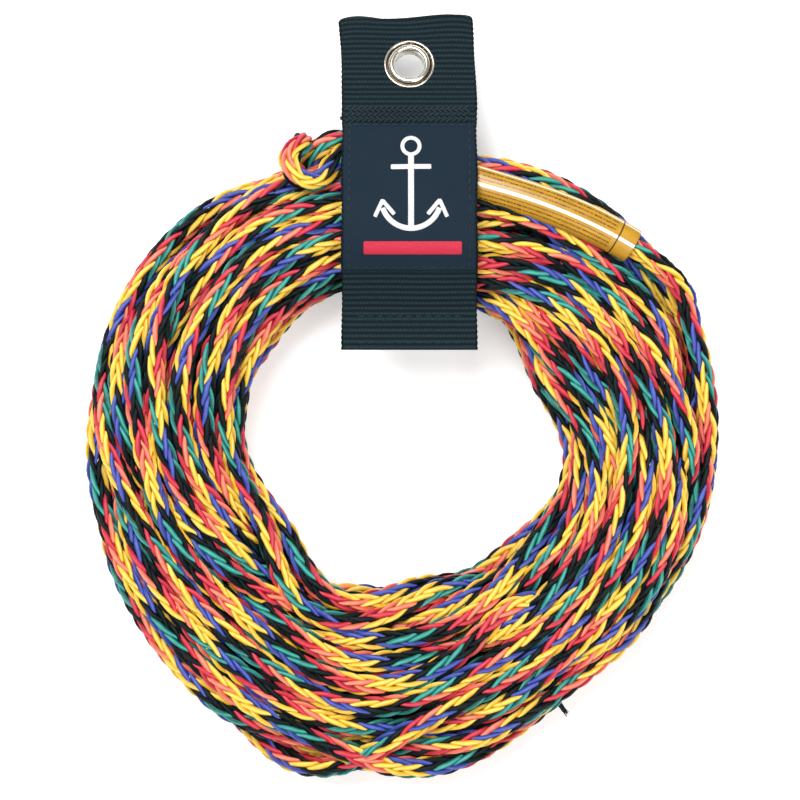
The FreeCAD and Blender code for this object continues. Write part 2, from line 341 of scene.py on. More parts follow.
def lay_turns():
    """The ring's turns, each wandering across the ring's section as it goes round, pushed apart
    until they lie beside one another inside the ring's outline. They start thin and thicken, so
    each crossing settles as one turn lying over the other."""
    outer, inner = stations_of(OUTER_RADII), stations_of(INNER_RADII)
    height, low = stations_of(HEIGHTS), stations_of(LOWS)
    centre = np.stack([(outer + inner) / 2, low + height / 2], axis=-1)[:, None]
    room = np.stack([(outer - inner) / 2, height / 2], axis=-1)[:, None] - ROPE / 2
    count = TURNS * STATIONS
    turning = 2 * math.pi * LAY * np.arange(count) / STATIONS + SWAY * wander(count, 36)
    depth = np.sqrt(0.5 + 0.5 * wander(count, 40))
    spots = np.stack([depth * np.cos(turning), depth * np.sin(turning)], axis=-1)
    place = spots.reshape(TURNS, STATIONS, 2).transpose(1, 0, 2)
    place = centre + room * place * 0.85
    pinned, crossings = pinned_places(), last_stretch_crossings()
    # the thickness at which as many turns as there are fill the section
    packed = 2 * np.sqrt(0.82 * (outer - inner) / 2 * height / 2 / TURNS)
    bodies = TURNS + crossings.shape[1]
    spacing = np.tile(packed[:, None, None], (1, bodies, bodies))
    spacing[SLEEVED_STATIONS, TURNS - 1] += SLEEVE_ROOM
    spacing[SLEEVED_STATIONS, :, TURNS - 1] += SLEEVE_ROOM
    own = np.eye(bodies, dtype=bool)
    spread = np.hanning(PUSH_SPREAD) / np.hanning(PUSH_SPREAD).sum()
    growth = np.concatenate([np.linspace(THIN, 1, GROWING_ROUNDS), np.ones(SETTLING_ROUNDS)])
    for thickness in growth:
        everything = np.concatenate([place, crossings], axis=1)
        gap = everything[:, :, None] - everything[:, None]
        distance = np.linalg.norm(gap, axis=-1) + own * 1e3 + 1e-6
        push = np.clip(spacing * thickness - distance, 0, None) / distance
        shift = PUSH * (gap * push[..., None]).sum(axis=2)[:, :TURNS]
        line = place.transpose(1, 0, 2).reshape(count, 2)
        shift = shift.transpose(1, 0, 2).reshape(count, 2)
        for axis in (0, 1):
            line[:, axis] += np.convolve(shift[:, axis], spread, "same")
        bend = line[:-4] - 4 * line[1:-3] + 6 * line[2:-2] - 4 * line[3:-1] + line[4:]
        line[2:-2] -= STIFFNESS * bend
        line[1:-1] += TENSION * (line[:-2] - 2 * line[1:-1] + line[2:])
        place = line.reshape(TURNS, STATIONS, 2).transpose(1, 0, 2)
        offset = (place - centre) / room
        reach = np.linalg.norm(offset, axis=-1, keepdims=True)
        place = centre + room * offset / np.maximum(reach, 1)
        for spot, where in pinned.items():
            place[spot] = where
    line = place.transpose(1, 0, 2).reshape(count, 2)[: count - CUT_SHORT]
    turn = np.radians(START_ANGLE + np.arange(len(line)) * 360 / STATIONS)
    x, y = line[:, 0] * np.cos(turn), RING_Y + line[:, 0] * np.sin(turn)
    return np.stack([x, y, line[:, 1]], axis=-1)


def spline_points(points, resolution):
    """The points of a NURBS spline through the ring and along the rope's route."""
    curve = bpy.data.curves.new("rope_route", "CURVE")
    curve.dimensions = "3D"
    curve.resolution_u = resolution
    spline = curve.splines.new("NURBS")
    spline.points.add(len(points) - 1)
    for point, spot in zip(spline.points, points):
        point.co = (*spot, 1)
    spline.order_u = 3
    spline.use_endpoint_u = True
    holder = bpy.data.objects.new("rope_route", curve)
    bpy.context.collection.objects.link(holder)
    bpy.context.view_layer.update()
    mesh = bpy.data.meshes.new_from_object(holder)
    spots = np.empty(len(mesh.vertices) * 3)
    mesh.vertices.foreach_get("co", spots)
    bpy.data.objects.remove(holder)
    bpy.data.meshes.remove(mesh)
    return spots.reshape(-1, 3)


def carried_frames(line):
    """A sideways and an upward direction at each point of a line, carried along it untwisted."""
    along = headings(line)
    side = np.empty_like(line)
    side[0] = np.cross(along[0], (0, 0, 1))
    for number in range(1, len(line)):
        carried = side[number - 1]
        carried = carried - along[number] * (carried @ along[number])
        side[number] = carried
    side /= np.linalg.norm(side, axis=1, keepdims=True)
    return side, np.cross(along, side)


turns = lay_turns()
route = np.concatenate([turns, np.array(LAST_STRETCH, float)]) * MM
rope_line = spline_points(route, 5)
rope_run = lengths_along(rope_line)

# ---------------------------------------------------------------- the rope's braid

# A strand goes once round the rope in PITCH. It lies at WEAVE_RADIUS, give or take the lift as it
# goes over and under the others.
PITCH = 0.062
WEAVE_RADIUS = 0.0034
WEAVE_LIFT = 0.0006
STRAND_HALF_WIDTH = 0.00118
STRAIGHTENED = 0.6
# A strand's section: places across it, from edge to edge, and how high it is there.
STRAND_ACROSS = np.array([-1, -0.62, 0, 0.62, 1.0])
STRAND_CROWN = np.array([-0.00062, 0.0001, 0.00038, 0.0001, -0.00062])
# Each colour's edges (painted shade), body and crests (painted highlight).
COLOURS = {
    "yellow": ((150, 96, 10), (226, 172, 32), (250, 224, 112)),
    "black": ((1, 2, 3), (3, 6, 7), (22, 36, 38)),
    "blue": ((12, 18, 62), (34, 48, 130), (88, 104, 190)),
    "green": ((0, 32, 31), (0, 90, 82), (72, 178, 164)),
    "crimson": ((78, 3, 14), (172, 16, 38), (222, 72, 90)),
    "coral": ((130, 38, 24), (214, 88, 66), (248, 152, 124)),
}
ONE_WAY = ("yellow", "yellow", "coral", "crimson", "black", "black", "blue", "blue")
OTHER_WAY = ("black", "green", "green", "black", "crimson", "coral", "yellow", "yellow")


def braid(line, run):
    """The strands' points by colour: eight wind one way and eight the other, each over two and
    under two, and straighter along the rope where it is on top."""
    side, up = carried_frames(line)
    spin = np.interp(run, np.linspace(0, run[-1], 70), rng.normal(size=70).cumsum() * 0.8)
    loose_step = 9
    loose = rng.normal(size=(16, len(run) // loose_step + 2))
    strands = {name: [] for name in COLOURS}
    for hand, names in ((1, ONE_WAY), (-1, OTHER_WAY)):
        for number, name in enumerate(names):
            turn = hand * 2 * math.pi * run / PITCH + number * math.pi / 4
            phase = 4 * turn - math.pi / 4
            over = hand * np.cos(phase)
            turn = turn - hand * STRAIGHTENED / 4 * np.sin(phase)
            row = loose[number + 8 * (hand < 0)]
            stray = np.interp(np.arange(len(run)), np.arange(len(row)) * loose_step, row)
            radius = WEAVE_RADIUS + WEAVE_LIFT * over + 0.0001 * stray
            half = STRAND_HALF_WIDTH + 0.00016 * over + 0.00008 * stray
            middle = turn + spin + 0.04 * stray
            angle = middle[:, None] + STRAND_ACROSS * (half / radius)[:, None]
            reach = radius[:, None] + STRAND_CROWN
            spots = (
                line[:, None]
                + (reach * np.cos(angle))[..., None] * side[:, None]
                + (reach * np.sin(angle))[..., None] * up[:, None]
            )
            marks = np.zeros_like(spots)
            marks[..., 0] = STRAND_ACROSS + 3 * number
            marks[..., 1] = run[:, None] / MM
            # The third mark is 1 on a strand's middle and 0 at its edges; the paint turns it into a
            # painted highlight and painted shade.
            marks[..., 2] = 1 - np.abs(STRAND_ACROSS) ** 1.4
            strands[name].append((spots, marks))
    return strands


def strand_paint(name, edge, body, crest_highlight):
    paint = Paint("strand_" + name, 0.42, specular=0.12 if name == "black" else 0.33)
    _, _, swell = paint.grain_parts()
    streaks = paint.noise(paint.grain(3.4, 0.07, 0.0), 1.7, 4.0)
    patches = paint.noise(paint.grain(0.5, 0.3, 0.0), 0.9, 2.0)
    # A strand's middle is painted lighter and its edges darker: the edge colour is painted shade
    # and the crest colour a painted highlight.
    crest_highlight_edge_shade = paint.math("MULTIPLY", swell, 0.5)
    tone = paint.math("ADD", paint.math("MULTIPLY", streaks, 0.55), crest_highlight_edge_shade)
    tone = paint.math("ADD", tone, paint.math("MULTIPLY", patches, 0.25))
    paint.color(
        paint.ramp(tone, ((0.3, linear(*edge)), (0.62, linear(*body)), (0.95, linear(*crest_highlight))))
    )
    paint.bump(streaks, 0.0003, 0.9)
    return paint


def core_points(line, sides=6, radius=0.0027):
    """A dark tube that keeps light from passing between the strands, coloured near black as painted
    shade inside the braid.
    """
    side, up = carried_frames(line)
    angle = np.arange(sides) * 2 * math.pi / sides
    return (
        line[:, None]
        + radius * np.cos(angle)[:, None] * side[:, None]
        + radius * np.sin(angle)[:, None] * up[:, None]
    )


rope_pieces = []
for colour, parts in braid(rope_line, rope_run).items():
    spots = np.stack([spots for spots, _ in parts])
    marks = np.stack([marks for _, marks in parts])
    piece = grid_mesh("rope_" + colour, spots, marks=marks)
    paint_on(piece, strand_paint(colour, *COLOURS[colour]))
    rope_pieces.append(piece)
core = grid_mesh("rope_core", core_points(rope_line[::3])[None], closed_across=True)
core_paint = Paint("rope_inside", 0.9, specular=0.1)
# The core's near black colour and its fine speckle are painted shade between the strands.
shade_speckle = core_paint.noise(core_paint.object_place(), 900.0)
core_paint.color(core_paint.ramp(shade_speckle, ((0.3, linear(4, 5, 6)), (0.7, linear(14, 15, 16)))))
paint_on(core, core_paint)
rope_pieces.append(core)
for piece in rope_pieces:
    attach(piece, "coil")
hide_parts("rope_coil", "rope_knot", "rope_sleeved_pass")

# ---------------------------------------------------------------- the keeper's cloth

STRAP_X = 2.4
HALF_WIDTH = 25.3
HALF_THICK = 0.8
RIB_PITCH = 2.1
# The cloths' middle lines in the strap's mid plane, as (Y, Z) corners with the radii they are
# eased by: from the fin's free edge to the seam for the two legs, and out and back for the tab.
FRONT_LINE = (
    (18.4, 46.0), (33.0, 46.0), (58.2, 55.2), (72.4, 55.2), (103.2, 40.3), (106.4, 39.4),
    (109.2, 38.0),
)
FRONT_RADII = (12, 27, 27, 3, 3)
BACK_LINE = (
    (20.5, 42.1), (33.4, 42.1), (33.4, 0.8), (83.6, 0.8), (104.2, 36.2), (106.2, 37.7),
    (109.4, 36.3),
)
BACK_RADII = (3, 27, 27, 2, 1)
TAB_LINE = (
    (108.9, 38.3), (115.5, 35.2), (145.6, 27.1), (145.2, 25.4), (114.9, 33.6), (108.3, 36.8),
)
TAB_RADII = (12, 0.9, 0.9, 12)
# How far the tab's folded end stands out or back, at places across it.
TAB_EDGE_ACROSS = (-25, -13, 0, 13, 25)
TAB_EDGE_WAVE = (-2.2, -1.2, -2.0, -0.4, -1.0)
LABEL_SPAN = (47.9, 103.4)
LABEL_HALF_WIDTH = 24.6
LABEL_TOP = 1.4
hang_mount = frame["record"]["mounts"][0]
GROMMET_PLACE = tuple(round(value / MM, 2) for value in hang_mount["pos_m"])
GROMMET_AXIS = hang_mount["axis"]
GROMMET_HOLE = 7.3


def rounded_line(points, radii, step=0.3):
    """A line in the YZ plane with eased corners, at even steps, and the way that is up from it."""
    points = [np.array(point, float) for point in points]
    spots = [points[0]]
    for before, corner, after, radius in zip(points, points[1:], points[2:], radii):
        inward, outward = before - corner, after - corner
        inward, outward = inward / np.linalg.norm(inward), outward / np.linalg.norm(outward)
        turn = math.pi - math.acos(np.clip(inward @ outward, -1, 1))
        reach = radius * math.tan(turn / 2)
        first, last = corner + inward * reach, corner + outward * reach
        for share in np.linspace(0, 1, 9):
            pull = 2 * share * (1 - share) * corner
            spots.append((1 - share) ** 2 * first + pull + share**2 * last)
    spots = np.array(spots + [points[-1]])
    line, run = evened(spots, round(lengths_along(spots)[-1] / step) + 1)
    along = headings(line)
    return line, np.stack([-along[:, 1], along[:, 0]], axis=-1), run


def ribs(across, along):
    """The height, from 0 to 1, of the webbing's crosswise ribs and the yarn crowns on them."""
    number = np.floor(along / RIB_PITCH)
    ridge = np.abs(np.sin(math.pi * along / RIB_PITCH)) ** 0.7
    crown = 0.5 + 0.5 * np.cos(2 * math.pi * across / 1.3 + math.pi * number)
    return ridge * (0.8 + 0.2 * crown)


def cloth(name, line, low, high, half_width=HALF_WIDTH, columns=121, rib=0.22, drape=None,
          shift=None, hole=None):
    """A strip of cloth along a line of the YZ plane, between two heights above it, closed all
    round, with its ribs on both faces. It is raised by drape and moved bodily by shift."""
    spots, up, run = line
    edge_round = np.concatenate([[0.35, 0.8], np.ones(columns - 4), [0.8, 0.35]])
    across = np.linspace(-half_width, half_width, columns)
    wobble = 0.12 * np.sin(2 * math.pi * run / RIB_PITCH) + 0.18 * np.sin(run / 5.3 + 1)
    side = across[None] * (1 + wobble[:, None] / half_width)
    height = ribs(side, run[:, None])
    middle, half = (low + high) / 2, (high - low) / 2
    thick = half * edge_round[None] + rib * (height - 0.6) * edge_round[None]
    fold = drape(side, run[:, None]) if drape else 0 * side
    moved = shift(side, run[:, None]) if shift else 0
    faces = []
    for sign in (1, -1):
        offset = middle + fold + sign * thick
        y = spots[:, :1] + up[:, :1] * offset
        z = spots[:, 1:] + up[:, 1:] * offset
        face = np.stack([STRAP_X + side, y, z], axis=-1) + moved
        # The third mark is the ribs' height, which the webbing paint turns into painted highlight
        # and painted shade.
        mark = np.stack([side, np.broadcast_to(run[:, None], side.shape), height], axis=-1)
        faces.append((face, mark) if sign > 0 else (face[:, ::-1], mark[:, ::-1]))
    points = np.concatenate([faces[0][0], faces[1][0]], axis=1)
    marks = np.concatenate([faces[0][1], faces[1][1]], axis=1)
    for end, near in ((0, 1), (-1, -2)):
        mirrored = np.concatenate([points[end, columns:][::-1], points[end, :columns][::-1]])
        points[end] = (points[end] + mirrored) / 2
    thing = grid_mesh(name, points[None] * MM, closed_across=True, marks=marks)
    shape = bmesh.new()
    shape.from_mesh(thing.data)
    # close the strip's two ends, where the faces meet
    ends = [vertex for vertex in shape.verts if vertex.is_boundary]
    bmesh.ops.remove_doubles(shape, verts=ends, dist=1e-6)
    if hole is not None:
        punch(shape, *hole)
    shape.to_mesh(thing.data)
    shape.free()
    return thing


def punch(shape, centre, radius):
    """Cut a round hole down through every layer of a cloth, and close each layer's edge."""
    inside = []
    for face in shape.faces:
        middle = face.calc_center_median() / MM
        if math.hypot(middle.x - centre[0], middle.y - centre[1]) < radius:
            inside.append(face)
    bmesh.ops.delete(shape, geom=inside, context="FACES")
    edges = {edge for edge in shape.edges if edge.is_boundary}
    rims = []
    while edges:
        rim, open_ends = set(), [edges.pop()]
        while open_ends:
            edge = open_ends.pop()
            rim.add(edge)
            beside = {other for vertex in edge.verts for other in vertex.link_edges} & edges
            edges -= beside
            open_ends.extend(beside)
        rims.append(rim)
    rims.sort(key=lambda rim: sum(edge.verts[0].co.z for edge in rim) / len(rim))
    for under, over in zip(rims[::2], rims[1::2]):
        bmesh.ops.bridge_loops(shape, edges=list(under | over))


def webbing_paint():
    """Dark woven yarn: painted highlight on the ribs' crowns, painted shade between them, darkest
    along the side edges.
    """
    paint = Paint("webbing", 0.75, specular=0.15)
    across, _, rib = paint.grain_parts()
    specks = paint.noise(paint.grain(1.1, 2.4, 0.0), 1.3, 5.0)
    # The ribs' height makes their crowns lighter and the valleys darker: painted highlight and
    # painted shade.
    mixed = paint.math("MULTIPLY", rib, paint.math("ADD", specks, 0.25))
    # A narrow band along each side edge is made darkest.
    side_band = paint.math("GREATER_THAN", paint.math("ABSOLUTE", across), 24.7)
    mixed = paint.math("MULTIPLY", mixed, paint.math("SUBTRACT", 1.0, side_band))
    paint.color(
        paint.ramp(mixed, ((0.2, linear(6, 16, 21)), (0.55, linear(13, 31, 38)),
                           (0.9, linear(38, 62, 67))))
    )
    paint.bump(paint.noise(paint.grain(2.6, 5.0, 0.0), 1.5, 3.0), 0.0002, 0.8)
    return paint


tab_line = rounded_line(TAB_LINE, TAB_RADII)
tab_length = tab_line[2][-1]
tab_edge = np.polyfit(TAB_EDGE_ACROSS, TAB_EDGE_WAVE, 4)


def tab_reach(run):
    """How far out on the folded tab a place is, from 0 to 1, and which way is out or up there."""
    outward = run < tab_length / 2
    share = np.where(outward, run, tab_length - run) / (tab_length / 2)
    return share, np.where(outward, 1, -1)


def tab_drape(across, run):
    """The folded end is wavy seen edge on, with its two layers together."""
    share, way = tab_reach(run)
    return way * 0.6 * share**2 * np.sin(across / 7.5 + 0.9)


def tab_shift(across, run):
    """The tab leans a little to one side, and its folded end and the ribs near it are wavy."""
    share = tab_reach(run)[0] + 0 * across
    stretch = share**3 * np.polyval(tab_edge, across)
    slope = math.atan2(TAB_LINE[2][1] - TAB_LINE[1][1], TAB_LINE[2][0] - TAB_LINE[1][0])
    lean = 0.1 - 1.5 * share**1.5
    return np.stack([lean, stretch * math.cos(slope), stretch * math.sin(slope)], axis=-1)


def leg_drape(across, run):
    """The webbing follows the ropes under it a little."""
    return 0.28 * np.sin(across / 6.1 + 0.6 * np.sin(run / 9)) * np.sin(run / 13) ** 2


webbing = webbing_paint()
front_line = rounded_line(FRONT_LINE, FRONT_RADII)
back_line = rounded_line(BACK_LINE, BACK_RADII)
front = cloth("webbing_front", front_line, -HALF_THICK, HALF_THICK, drape=leg_drape)
back = cloth("webbing_back", back_line, -HALF_THICK, HALF_THICK)
tab = cloth("webbing_tab", tab_line, -0.78, 0.78, drape=tab_drape, shift=tab_shift,
            hole=(GROMMET_PLACE[:2], GROMMET_HOLE))
for piece in (front, back, tab):
    paint_on(piece, webbing)
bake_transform(front)
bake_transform(tab)
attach(back, "coil")
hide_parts("strap_front")
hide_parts("strap_back", "strap_seam")
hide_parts("strap_tab")

# ---------------------------------------------------------------- the label and its motif


def part_of_line(line, keep):
    return tuple(values[keep] for values in line)


front_y = front_line[0][:, 0]
label_line = part_of_line(front_line, (front_y >= LABEL_SPAN[0]) & (front_y <= LABEL_SPAN[1]))
label = cloth("label", label_line, 0.82, LABEL_TOP, half_width=LABEL_HALF_WIDTH, columns=81,
              rib=0.0, drape=leg_drape)
label_paint = Paint("label_cloth", 0.65, specular=0.15)
weave = label_paint.noise(label_paint.grain(1.6, 7.0, 0.0), 1.6, 4.0)
label_paint.color(label_paint.ramp(weave, ((0.3, linear(8, 22, 33)), (0.7, linear(20, 41, 56)))))
label_paint.bump(weave, 0.0002, 0.6)
paint_on(label, label_paint)
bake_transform(label)
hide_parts("woven_label")


def on_label(x, y, lift):
    """The place above the label at a place seen from above."""
    spots, up, run = label_line
    number = int(np.argmin(np.abs(spots[:, 0] - y)))
    drop = leg_drape(np.array([[x - STRAP_X]]), np.array([[run[number]]]))[0, 0]
    height = LABEL_TOP + lift + drop
    shift = y - spots[number, 0]
    base = spots[number, 1] + shift * -up[number, 0] / up[number, 1]
    return (x, y + up[number, 0] * height, base + up[number, 1] * height)


def stroke(points, width, lift=0.2, step=0.5):
    """An embroidered stroke along points seen from above, rounded across."""
    points = np.array(points, float)
    line, run = evened(points, max(3, round(lengths_along(points)[-1] / step)))
    along = headings(line)
    sideways = np.stack([-along[:, 1], along[:, 0]], axis=-1)
    profile = ((-0.5, -0.05), (-0.42, 0.75), (0.0, 1.0), (0.42, 0.75), (0.5, -0.05))
    rows, marks = [], []
    for number, (spot, side) in enumerate(zip(line, sideways)):
        taper = 0.86 if number in (0, len(line) - 1) else 1.0
        row, mark = [], []
        for offset, rise in profile:
            x, y = spot + side * offset * width * taper
            row.append(on_label(x, y, lift * rise))
            mark.append((offset * width, run[number], 0.0))
        rows.append(row)
        marks.append(mark)
    return grid_mesh("stroke", np.array([rows]) * MM, marks=np.array([marks]))


def arc_points(centre, radius, start, stop, count=40):
    angles = np.radians(np.linspace(start, stop, count))
    return [(centre[0] + radius * math.cos(a), centre[1] + radius * math.sin(a)) for a in angles]


def thread_paint(name, deep, pale):
    paint = Paint(name, 0.5, specular=0.35)
    sheen = paint.noise(paint.grain(0.8, 9.0, 0.0), 1.4, 3.0)
    paint.color(paint.ramp(sheen, ((0.3, linear(*deep)), (0.7, linear(*pale)))))
    paint.bump(sheen, 0.0003, 0.9)
    return paint


ANCHOR_X, ANCHOR_TOP = 3.0, 94.0


def anchor_stroke(points, width):
    """A stroke of the anchor, whose own place is the centre of its ring."""
    return stroke([(ANCHOR_X + x, ANCHOR_TOP + y) for x, y in points], width)


anchor = [
    anchor_stroke(arc_points((0, 0), 3.2, -90, 270), 1.5),
    anchor_stroke([(0, -3.6), (0, -31)], 2.2),
    anchor_stroke([(-7.5, -8), (7.5, -8)], 1.9),
    anchor_stroke(arc_points((0, -19.5), 11.2, 200, 340), 2.0),
    anchor_stroke([(-13.4, -26.5), (-10.6, -20.6), (-6.2, -25.6)], 1.5),
    anchor_stroke([(13.4, -26.5), (10.6, -20.6), (6.2, -25.6)], 1.5),
]
motif = join("label_motif", anchor)
paint_on(motif, thread_paint("white_thread", (200, 202, 204), (246, 246, 246)))
bar = stroke([(-14.6, 56.4), (21.8, 56.4)], 4.6, lift=0.3)
bar.name = "label_bar"
paint_on(bar, thread_paint("red_thread", (170, 20, 48), (226, 58, 84)))
for piece in (motif, bar):
    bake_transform(piece)

# ---------------------------------------------------------------- stitches and tapes


def stitches(name, line, spots, lift, length=2.5, width=0.62, height=0.4, facing=1):
    """Rounded stitches on a line's cloth: each spot is (across, along, angle), an angle of 0 lying
    along the strap."""
    places, up, run = line
    turn = np.linspace(0, 2 * math.pi, 8, endpoint=False)
    reach = np.linspace(-1, 1, 7)
    swell = np.sqrt(np.clip(1 - reach**2, 0.03, 1))
    grids, marks = [], []
    for across, along, angle in spots:
        number = int(np.clip(np.searchsorted(run, along), 1, len(run) - 1))
        normal = np.array([0, *up[number]]) * facing
        forward = np.array([0, up[number][1], -up[number][0]])
        sideways = np.array([1.0, 0, 0])
        heading = math.radians(angle + rng.normal() * 4)
        axis = forward * math.cos(heading) + sideways * math.sin(heading)
        cross = np.cross(normal, axis)
        middle = np.array([STRAP_X + across, *places[number]]) + normal * lift
        stretch = length * (1 + 0.06 * rng.normal()) / 2
        grid = (
            middle
            + reach[:, None, None] * stretch * axis
            + (swell[:, None] * np.cos(turn))[..., None] * width / 2 * cross
            + (swell[:, None] * np.sin(turn))[..., None] * height / 2 * normal
        )
        grids.append(grid)
        mark = np.zeros_like(grid)
        mark[..., 0], mark[..., 1] = np.cos(turn)[None] * width, reach[:, None] * stretch
        marks.append(mark)
    return grid_mesh(name, np.array(grids) * MM, True, np.array(marks))


def across_rows(rows, width, pitch=3.6):
    """Spots of rows of stitches across the strap."""
    count = int(width / pitch)
    places = (np.arange(count) - (count - 1) / 2) * pitch
    return [(across, along, 90.0) for along in rows for across in places]


def cross_stitch(run, rows=5, pitch=2.1, row_pitch=1.3, slant=34):
    """Spots of a band of slanting stitches that ends where the run of cloth does."""
    first = run - 5.6
    return [(across + 0.9 * (row % 2), first + row_pitch * row, 90 + (slant if row % 2 else -slant))
            for row in range(rows) for across in np.arange(-23.2, 23.0, pitch)]


dark_thread = thread_paint("dark_thread", (9, 22, 28), (34, 54, 62))
label_run = label_line[2]
label_edge = [(side, along, 0.0) for side in (-22.4, 22.4)
              for along in np.arange(label_run[0] + 2, label_run[-1] - 1, 3.5)]
label_ends = across_rows((label_run[0] + 1.3, label_run[-1] - 1.2), 44)
label_thread = stitches("label_thread", label_line, label_edge + label_ends, 1.5)
seam_spots = cross_stitch(front_line[2][-1])
seam_thread = stitches("seam_thread", front_line, seam_spots, 1.15, length=2.9)
hook_thread = stitches("hook_thread", front_line, across_rows((2.6, 12.4), 42), 0.86)
loop_thread = stitches("loop_thread", back_line, across_rows((2.6, 9.6), 42), 1.0, facing=-1)
paint_on(label_thread, dark_thread)
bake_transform(label_thread)
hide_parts("label_stitching")
for piece, body, node in (
    (seam_thread, "coil", "seam_stitching"),
    (hook_thread, "front_flap", "hook_tape_stitching"),
    (loop_thread, "coil", "loop_tape_stitching"),
):
    paint_on(piece, dark_thread)
    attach(piece, body)
    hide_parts(node)


def tape_base(name, line, low, high, first, last):
    """The tape's own cloth, over a stretch of a leg."""
    covered = part_of_line(line, (line[2] >= first) & (line[2] <= last))
    return cloth(name, covered, low, high, half_width=22.8, columns=61, rib=0.0)


def bristles(name, line, low, first, last, height, lean, spread, pitch, radius):
    """Short threads standing on a tape: straight ones are hooks, and leaning ones are loops."""
    places, up, run = line
    turn = np.linspace(0, 2 * math.pi, 3, endpoint=False)
    shares = np.linspace(0, 1, 4)
    grids = []
    for along in np.arange(first + 1, last - 1, pitch):
        for across in np.arange(-21.8, 21.9, pitch):
            number = int(np.searchsorted(run, along))
            normal = np.array([0, *up[number]]) * math.copysign(1, low)
            forward = np.array([0, up[number][1], -up[number][0]])
            wind = rng.uniform(0, 2 * math.pi)
            tip = forward * math.cos(wind) + np.array([math.sin(wind), 0, 0])
            base = np.array([STRAP_X + across + rng.normal() * spread, *places[number]])
            base = base + normal * abs(low) + forward * rng.normal() * spread
            bow = np.sin(shares * math.pi * 0.85)[:, None] * height * normal
            line_of = base + bow + (1 - np.cos(shares * math.pi))[:, None] * lean * tip
            ring = np.cos(turn)[:, None] * np.array([1.0, 0, 0]) + np.sin(turn)[:, None] * forward
            grids.append(line_of[:, None] + ring * radius)
    return grid_mesh(name, np.array(grids) * MM, True)


tape_paint = Paint("touch_tape", 0.8, specular=0.15)
nap = tape_paint.noise(tape_paint.object_place(), 1400.0)
tape_paint.color(tape_paint.ramp(nap, ((0.3, linear(6, 9, 12)), (0.7, linear(22, 28, 33)))))
TAPE_FROM, HOOKS_TO, LOOPS_TO = 1.2, 24.0, 21.0
hooks = join("hook_tape_hooks", [
    tape_base("hook_base", front_line, -1.25, -HALF_THICK, TAPE_FROM, HOOKS_TO),
    bristles("hooks", front_line, -1.2, TAPE_FROM, HOOKS_TO, height=0.55, lean=0.16, spread=0.04,
             pitch=1.15, radius=0.11),
])
loops = join("loop_tape_loops", [
    tape_base("loop_base", back_line, HALF_THICK, 1.2, TAPE_FROM, LOOPS_TO),
    bristles("loops", back_line, 1.15, TAPE_FROM, LOOPS_TO, height=0.5, lean=0.45, spread=0.35,
             pitch=0.95, radius=0.07),
])
for piece, body, node in ((hooks, "front_flap", "hook_tape"), (loops, "coil", "loop_tape")):
    paint_on(piece, tape_paint)
    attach(piece, body)
    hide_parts(node)

# ---------------------------------------------------------------- frayed ends


def tuft(name, root, tip, count, spread):
    """A few short fibres that have worked loose, from a root towards a tip."""
    root, tip = np.array(root, float), np.array(tip, float)
    shares = np.linspace(0, 1, 6)
    turn = np.linspace(0, 2 * math.pi, 3, endpoint=False)
    grids = []
    for _ in range(count):
        lean = rng.normal(size=3) * spread
        spots = root + rng.normal(size=3) * 0.4 + shares[:, None] * (tip - root)
        spots = spots + shares[:, None] ** 2 * lean
        ring = np.stack([np.cos(turn), np.sin(turn), np.cos(turn + 1)], axis=-1)
        taper = (0.24 * (1 - 0.6 * shares))[:, None, None]
        grids.append(spots[:, None] + ring * taper)
    grids = np.array(grids)
    marks = np.broadcast_to(shares[:, None, None], grids.shape)
    return grid_mesh(name, grids * MM, True, marks)


for piece, slot in (
    (tuft("rope_fray", (59.6, -116.4, 14), (62.8, -120.4, 13.4), 40, 0.4), "rope"),
    (tuft("strap_fray", (-22.2, 105.8, 39.4), (-23.1, 105.5, 39.5), 30, 0.2), "webbing"),
):
    paint_on(piece, dark_thread)
    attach(piece, "coil")

# ---------------------------------------------------------------- the grommet

# The sections of the eyelet and the washer, as (radius, height) in millimetres.
EYELET = (
    (9.3, 1.45), (9.6, 1.7), (9.58, 2.05), (9.25, 2.38), (8.85, 2.32), (8.55, 1.92), (8.3, 1.78),
    (8.0, 1.95), (7.7, 2.42), (7.2, 2.82), (6.6, 2.98), (6.05, 2.8), (5.72, 2.3), (5.58, 1.5),
    (5.55, 0.0), (5.55, -2.3), (5.75, -2.75), (6.3, -2.9), (6.8, -2.7), (6.95, -2.4), (6.4, -2.35),
    (6.0, -2.3), (6.0, 1.3),
)
WASHER = ((6.1, -1.55), (9.0, -1.55), (9.15, -1.9), (8.9, -2.3), (7.6, -2.42), (6.1, -2.35))
GROOVE_RADIUS = 8.2


def turned(name, profile, sides=96):
    """A closed ring turned about the grommet's axis, at the grommet's place."""
    radius, height = np.array(profile + profile[:1]).T
    angle = np.arange(sides) * 2 * math.pi / sides
    x = radius[:, None] * np.cos(angle)
    y = radius[:, None] * np.sin(angle)
    z = np.broadcast_to(height[:, None], x.shape)
    _, lean, upright = GROMMET_AXIS
    points = np.stack([x, y * upright + z * lean, z * upright - y * lean], axis=-1)
    marks = np.stack([np.broadcast_to(radius[:, None], x.shape), z, x], axis=-1)
    return grid_mesh(name, (points + np.array(GROMMET_PLACE))[None] * MM, True, marks[None])


nickel = Paint("nickel", 0.2, metallic=1.0)
# The groove between the eyelet's rims is painted darker: painted shade in the recess.
painted_groove_shade = nickel.near(nickel.grain_parts()[0], GROOVE_RADIUS, 0.5)
wear = nickel.noise(nickel.object_place(), 700.0, 5.0)
plate = nickel.ramp(wear, ((0.3, linear(196, 190, 176)), (0.7, linear(232, 228, 216))))
nickel.color(nickel.mix(painted_groove_shade, plate, linear(92, 80, 62)))
eyelet, washer = turned("eyelet", EYELET), turned("washer", WASHER)
for piece, node in ((eyelet, "grommet_eyelet"), (washer, "grommet_washer")):
    paint_on(piece, nickel)
    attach(piece, "hang_tab")
    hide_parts(node)

# ---------------------------------------------------------------- the sleeve

